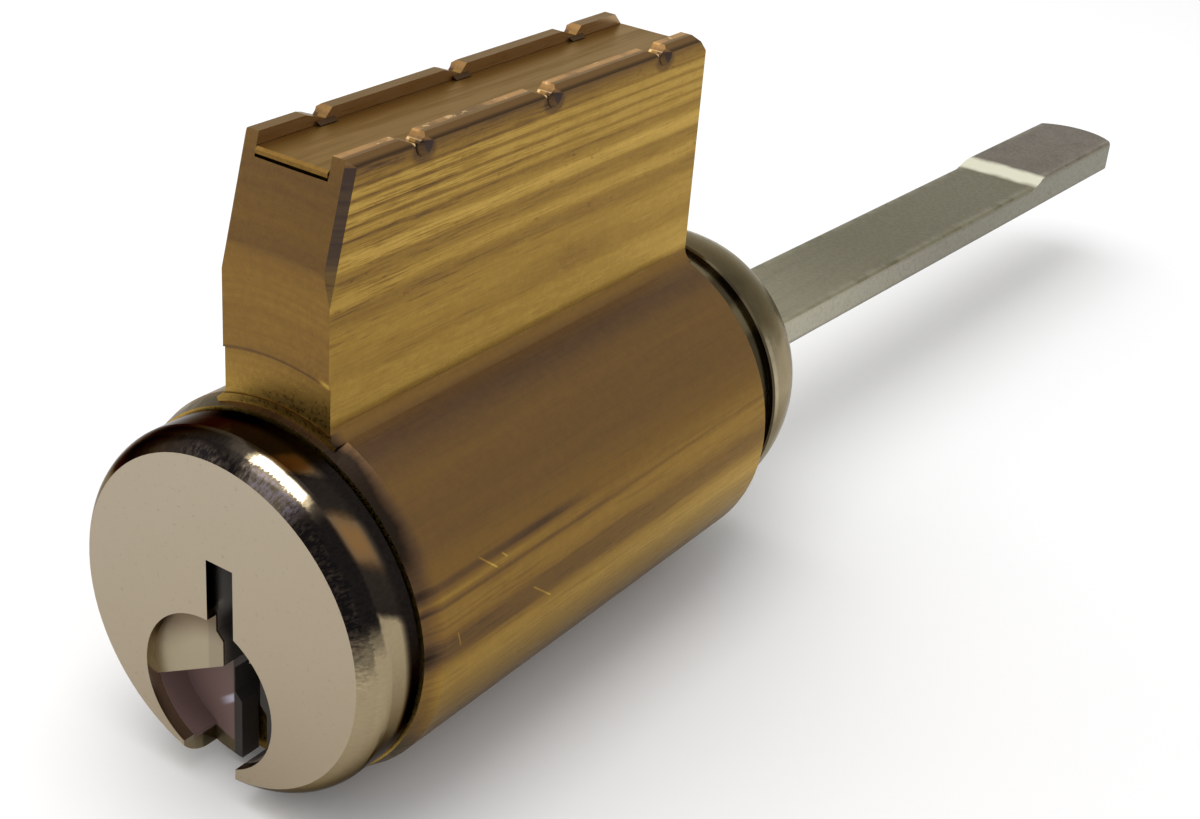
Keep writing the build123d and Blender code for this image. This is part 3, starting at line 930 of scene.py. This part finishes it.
@dataclass
class Coil:
    """A spring with closed ends, wound round a straight line."""

    name: str
    start: Point
    rise: Point
    radius: float
    wire: float
    turns: float
    steps: int = 24
    round_steps: int = 8
    closing_turns: float = 1.4

    def build(self) -> bpy.types.Object:
        """Wind the wire as a tube on a grid.

        The centre line turns round the rise at a steady rate. Its height eases in and out, so the
        end turns lie close together. The tube is a circle of the wire's radius, set square to the
        centre line: one of its axes points out from the rise, the other is their cross product.

        Returns:
            The spring's object.
        """
        base, rise = np.array(self.start), np.array(self.rise)
        length = np.linalg.norm(rise)
        ahead = rise / length
        out = np.cross(ahead, [1.0, 0.0, 0.0])
        over = np.cross(ahead, out)
        count = int(self.turns * self.steps) + 1
        t = np.linspace(0.0, 1.0, count)[:, None]
        turn = 2 * np.pi * self.turns * t
        end = self.closing_turns / self.turns
        slow = np.clip(t / end, 0, 1) ** 2 / 2 * end
        fast = np.clip(t - end, 0, 1 - 2 * end)
        late = (1 - (1 - np.clip((t - 1 + end) / end, 0, 1)) ** 2) / 2 * end
        climb = (slow + fast + late) / (1 - end)
        spoke = np.cos(turn) * out + np.sin(turn) * over
        path = base + spoke * self.radius + ahead * (self.wire / 2 + climb * (length - self.wire))
        tangent = np.gradient(path, axis=0)
        tangent /= np.linalg.norm(tangent, axis=1, keepdims=True)
        binormal = np.cross(tangent, spoke)
        a = np.linspace(0, 2 * np.pi, self.round_steps, endpoint=False)[None, :, None]
        tube = path[:, None] + self.wire / 2 * (np.cos(a) * spoke[:, None] + np.sin(a) * binormal[:, None])
        return grid_object(self.name, tube * MM)


def grid_object(name: str, points: np.ndarray) -> bpy.types.Object:
    """Make a closed tube's object from rings of points.

    Faces join each ring to the next, and the last point of a ring to its first. Each end ring is
    closed by one face.

    Args:
        name: The object's name.
        points: Ring, place on the ring, and X, Y and Z in metres.

    Returns:
        The new object, at the origin.
    """
    rings, around = points.shape[:2]
    index = np.arange(rings * around).reshape(rings, around)
    here, there = index[:-1], index[1:]
    quads = np.stack([here, np.roll(here, -1, 1), np.roll(there, -1, 1), there], axis=-1).reshape(-1, 4)
    faces = quads.tolist() + [index[0][::-1].tolist(), index[-1].tolist()]
    mesh = bpy.data.meshes.new(name)
    mesh.from_pydata(points.reshape(-1, 3).tolist(), [], faces)
    mesh.polygons.foreach_set("use_smooth", np.ones(len(faces), bool))
    mesh.update()
    thing = bpy.data.objects.new(name, mesh)
    bpy.context.scene.collection.objects.link(thing)
    return thing


def dress(node: str, material: bpy.types.Material) -> None:
    """Give a CAD node its material.

    Args:
        node: The node's name.
        material: What it is dressed in.
    """
    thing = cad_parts[node]
    thing.data.materials.clear()
    thing.data.materials.append(material)
    log.info("dressed %s with %s", node, material.name)


@dataclass
class LockBody:
    """Housing and cover strip."""

    brass: DrawnBrass = field(default_factory=DrawnBrass)
    cover: RolledBrass = RolledBrass("cover_brass", tint(121, 91, 45), tint(108, 81, 38))

    def build(self) -> None:
        """Dress both."""
        dress("housing", self.brass.make())
        dress("chamber_cover", self.cover.make())


@dataclass
class PlugGroup:
    """Plug, tail cap, tailpiece and cap pin, which turn together."""

    nickel: PlatedNickel = field(default_factory=PlatedNickel)
    cap: CapNickel = field(default_factory=CapNickel)
    steel: TailSteel = field(default_factory=TailSteel)
    pin: RolledBrass = RolledBrass("cap_pin_brass", tint(186, 150, 84), tint(150, 116, 62))
    spring_steel: RolledBrass = RolledBrass("cap_spring_steel", tint(168, 166, 160), tint(130, 128, 122))
    cap_pin_travel: float = 0.9
    coil_radius: float = 0.58
    wire: float = 0.2
    turns: float = 7.0

    def build(self) -> None:
        """Dress the four nodes and wind the cap pin's spring."""
        dress("plug", self.nickel.make())
        dress("tail_cap", self.cap.make())
        dress("tailpiece", self.steel.make())
        dress("cap_pin", self.pin.make())
        low, high = (np.array(corner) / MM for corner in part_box("cap_spring"))
        middle = (low + high) / 2
        length = high[1] - low[1]
        start = (middle[0], low[1], middle[2])
        spring = Coil("cap_spring_wire", start, (0, length, 0), self.coil_radius, self.wire, self.turns)
        coil = spring.build()
        coil.data.materials.append(self.spring_steel.make())
        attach(coil, "plug")
        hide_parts("cap_spring")
        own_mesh(coil)
        log.info("wound cap_spring_wire")


@dataclass
class PinStacks:
    """Six stacks of bottom pin, driver pin and spring."""

    count: int = 6
    wire: float = 0.26
    turns: float = 13.0
    travel: float = 5.5
    slack: float = 0.02
    turned: Point = (1.0, 1.0, 8.0)
    even: Point = (1.0, 1.0, 1.0)

    def build(self) -> None:
        """Dress the pins and wind the driver springs."""
        brass = RolledBrass("pin_brass", tint(196, 160, 92), tint(158, 124, 68), 0.28, self.turned)
        nickel = RolledBrass("pin_nickel", tint(186, 180, 166), tint(150, 144, 132), 0.28, self.turned)
        wire = RolledBrass("spring_bronze", tint(186, 128, 84), tint(150, 98, 62), 0.3, self.even)
        bottom, driver, bronze = brass.make(), nickel.make(), wire.make()
        for number in range(1, self.count + 1):
            dress(f"bottom_pin_{number}", bottom)
            dress(f"driver_pin_{number}", driver)
            low, high = (np.array(corner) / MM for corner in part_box(f"driver_spring_{number}"))
            middle = (low + high) / 2
            height = high[2] - low[2]
            reach = (high[0] - low[0]) / 2 - self.wire / 2 - self.slack
            start = (middle[0], middle[1], low[2])
            name = f"driver_spring_wire_{number}"
            coil = Coil(name, start, (0, 0, height), reach, self.wire, self.turns).build()
            coil.data.materials.append(bronze)
            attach(coil, "housing")
            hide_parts(f"driver_spring_{number}")
            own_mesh(coil)
            log.info("wound %s", coil.name)


@dataclass
class Studio:
    """Pale floor, soft lamps and the camera.

    The eye is in millimetres, right and down are the picture's own directions, and the focal
    length and the width are in the picture's pixels. The floor's half width is in metres.
    """

    floor_level: float = -9.6
    eye: Point = (50.9455, -49.8069, 48.4217)
    right: Point = (0.818434, 0.569480, 0.076539)
    down: Point = (0.319737, -0.340684, -0.884140)
    focal: float = 1887.59
    width: float = 1200.0
    sensor: float = 36.0
    floor_half: float = 1.5

    def floor(self) -> None:
        """Lay a pale floor, level with the underside of the body."""
        half = self.floor_half
        level = self.floor_level * MM
        corners = [(-half, -half, level), (half, -half, level), (half, half, level), (-half, half, level)]
        mesh = bpy.data.meshes.new("floor")
        mesh.from_pydata(corners, [], [(0, 1, 2, 3)])
        thing = bpy.data.objects.new("floor", mesh)
        bpy.context.scene.collection.objects.link(thing)
        paper = bpy.data.materials.new("floor_paper")
        paper.use_nodes = True
        shader = paper.node_tree.nodes["Principled BSDF"]
        shader.inputs["Base Color"].default_value = (0.93, 0.93, 0.93, 1.0)
        shader.inputs["Roughness"].default_value = 0.9
        shader.inputs["Specular IOR Level"].default_value = 0.0
        mesh.materials.append(paper)

    def world(self) -> None:
        """Fill the room with pale light: plain grey on matt things, white behind and in reflections."""
        world = bpy.data.worlds.new("pale_room")
        world.use_nodes = True
        tree = world.node_tree
        tree.nodes.clear()
        out = tree.nodes.new("ShaderNodeOutputWorld")
        path = tree.nodes.new("ShaderNodeLightPath")
        lit = tree.nodes.new("ShaderNodeBackground")
        seen = tree.nodes.new("ShaderNodeBackground")
        both = tree.nodes.new("ShaderNodeMixShader")
        lit.inputs["Color"].default_value = (0.76, 0.76, 0.76, 1.0)
        seen.inputs["Color"].default_value = (0.98, 0.98, 0.98, 1.0)
        first = tree.nodes.new("ShaderNodeMath")
        first.operation = "MAXIMUM"
        tree.links.new(path.outputs["Is Camera Ray"], first.inputs[0])
        tree.links.new(path.outputs["Is Glossy Ray"], first.inputs[1])
        second = tree.nodes.new("ShaderNodeMath")
        second.operation = "MAXIMUM"
        tree.links.new(first.outputs[0], second.inputs[0])
        tree.links.new(path.outputs["Is Transmission Ray"], second.inputs[1])
        tree.links.new(second.outputs[0], both.inputs[0])
        tree.links.new(lit.outputs[0], both.inputs[1])
        tree.links.new(seen.outputs[0], both.inputs[2])
        tree.links.new(both.outputs[0], out.inputs["Surface"])
        bpy.context.scene.world = world

    def lamp(self, name: str, spot: Point, aim: Point, size: float, power: float) -> None:
        """Hang one soft square lamp.

        Args:
            name: The lamp's name.
            spot: Where it hangs, in millimetres.
            aim: What it points at, in millimetres.
            size: Its side, in millimetres.
            power: Its power in watts.
        """
        light = bpy.data.lights.new(name, "AREA")
        light.size = size * MM
        light.energy = power
        thing = bpy.data.objects.new(name, light)
        thing.location = Vector(spot) * MM
        thing.rotation_euler = (Vector(aim) - Vector(spot)).to_track_quat("-Z", "Y").to_euler()
        bpy.context.scene.collection.objects.link(thing)

    def camera(self) -> None:
        """Set the camera where the photograph was taken from."""
        lens = bpy.data.cameras.new("camera")
        lens.sensor_fit = "HORIZONTAL"
        lens.sensor_width = self.sensor
        lens.lens = self.sensor * self.focal / self.width
        lens.clip_start = 0.001
        lens.clip_end = 10.0
        thing = bpy.data.objects.new("camera", lens)
        right, down = Vector(self.right), Vector(self.down)
        ahead = right.cross(down)
        turn = Matrix((right, -down, -ahead)).transposed()
        thing.matrix_world = Matrix.Translation(Vector(self.eye) * MM) @ turn.to_4x4()
        bpy.context.scene.collection.objects.link(thing)
        bpy.context.scene.camera = thing

    def build(self) -> None:
        """Set up the whole studio."""
        self.floor()
        self.world()
        self.lamp("top_lamp", (-40, 20, 260), (0, 30, 0), size=260, power=0.36)
        self.lamp("left_lamp", (-260, -120, 140), (0, 20, 0), size=200, power=0.2)
        self.camera()
        bpy.context.scene.view_settings.view_transform = "Standard"


def main() -> None:
    """Build and dress each sub-assembly in turn."""
    logging.basicConfig(level=logging.INFO)
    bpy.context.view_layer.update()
    for group in (Studio(), LockBody(), PlugGroup(), PinStacks()):
        group.build()
        log.info("built %s", type(group).__name__)


if __name__ == "__main__":
    main()
